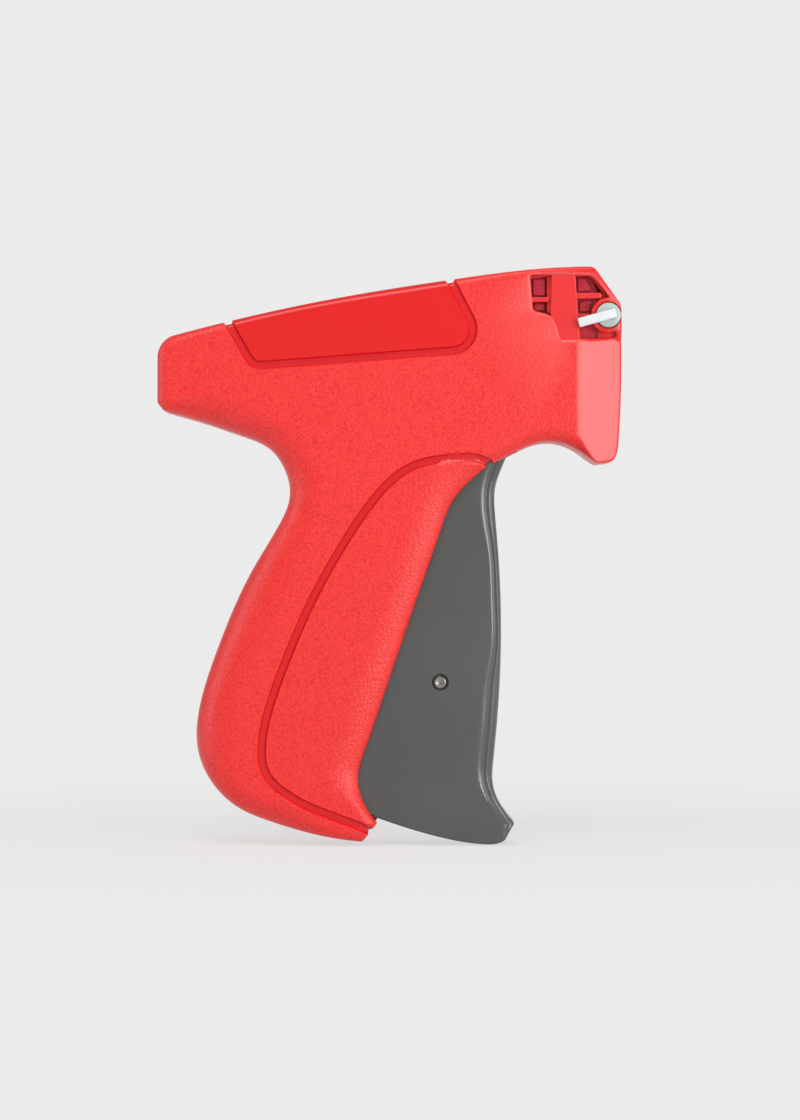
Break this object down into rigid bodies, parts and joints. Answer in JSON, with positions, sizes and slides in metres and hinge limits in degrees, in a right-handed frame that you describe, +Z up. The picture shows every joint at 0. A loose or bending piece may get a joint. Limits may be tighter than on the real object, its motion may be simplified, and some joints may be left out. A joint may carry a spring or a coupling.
{
  "type": "garment tag attacher",
  "caption": "Pistol-grip tagging tool with a squeeze trigger, a needle socket with a turning lock lever and a top channel for clips of plastic fasteners.",
  "frame": {"origin": "on the axis of the needle socket, at its mouth in the front face of the nose", "axes": "+X the way the needle points, +Z up along the height of the tool, +Y to the side without the lock lever"},
  "size_m": [0.1158, 0.0258, 0.1441],
  "materials": {
    "casing_red": "fine leather-like grain, smooth name panel",
    "tray_red": "smooth moulded, deeper red",
    "trigger_grey": "smooth moulded, dark grey",
    "lock_grey": "pale grey, satin",
    "acetal": "natural white bearing plastic",
    "steel": "ground steel",
    "spring_steel": "oiled spring wire",
    "brass": "turned",
    "buffer_rubber": "moulded"
  },
  "bodies": {
    "casing": {"right_casing": "casing_red", "left_casing": "casing_red", "feed_guide": "tray_red", "needle_seat": "steel", "knife_blade": "steel", "feed_axle": "steel", "detent_spring": "spring_steel", "rod_guide": "brass", "lever_pin": "steel", "trigger_pivot_pin": "steel", "return_spring": "spring_steel", "spring_seat": "acetal", "rear_buffer": "buffer_rubber"},
    "trigger": {"trigger": "trigger_grey", "link_pin": "steel"},
    "lever": {"drive_lever": "acetal", "lever_head_pin": "steel"},
    "slide": {"ejector_slide": "acetal", "ejector_rod": "steel"},
    "feed_bar": {"feed_bar": "spring_steel"},
    "feed_wheel": {"feed_wheel": "acetal", "index_ratchet": "acetal"},
    "needle_lock": {"lock_lever": "lock_grey", "lock_cam": "steel"},
    "needle_clamp": {"needle_clamp": "steel"}
  },
  "joints": [
    {"name": "trigger_squeeze", "type": "hinge", "parent": "casing", "child": "trigger", "pos_m": [-0.03413, 0, -0.02002], "axis": [0, 1, 0], "range_deg": [0, 15], "stiffness_Nm_per_rad": 4.8, "springref_deg": -5.96, "deforming": ["return_spring"]},
    {"name": "lever_swing", "type": "hinge", "parent": "casing", "child": "lever", "pos_m": [-0.05601, 0, -0.06051], "axis": [0, 1, 0], "range_deg": [0, 37.58], "deforming": ["return_spring"]},
    {"name": "slide_travel", "type": "slide", "parent": "casing", "child": "slide", "axis": [1, 0, 0], "range_m": [0, 0.03802]},
    {"name": "feed_bar_travel", "type": "slide", "parent": "casing", "child": "feed_bar", "axis": [0, 0, 1], "range_m": [-0.00234, 0]},
    {"name": "feed_wheel_turn", "type": "hinge", "parent": "casing", "child": "feed_wheel", "pos_m": [-0.0159, -0.0045, 0.0025], "axis": [1, 0, 0], "range_deg": [0, 36.01], "deforming": ["detent_spring"]},
    {"name": "lock_turn", "type": "hinge", "parent": "casing", "child": "needle_lock", "pos_m": [-0.0034, 0, 0.0035], "axis": [0, 1, 0], "range_deg": [0, 100]},
    {"name": "clamp_lift", "type": "slide", "parent": "casing", "child": "needle_clamp", "axis": [0, 0, 1], "range_m": [0, 0.000301]}
  ],
  "couplings": [
    {"joint": "lever_swing", "follows": "trigger_squeeze", "ratio": 2.5045},
    {"joint": "slide_travel", "follows": "trigger_squeeze", "m_per_rad": 0.14515},
    {"joint": "feed_bar_travel", "follows": "trigger_squeeze", "m_per_rad": -0.0089},
    {"joint": "feed_wheel_turn", "follows": "trigger_squeeze", "ratio": 2.4},
    {"joint": "clamp_lift", "follows": "lock_turn", "m_per_rad": 0.00017189}
  ]
}
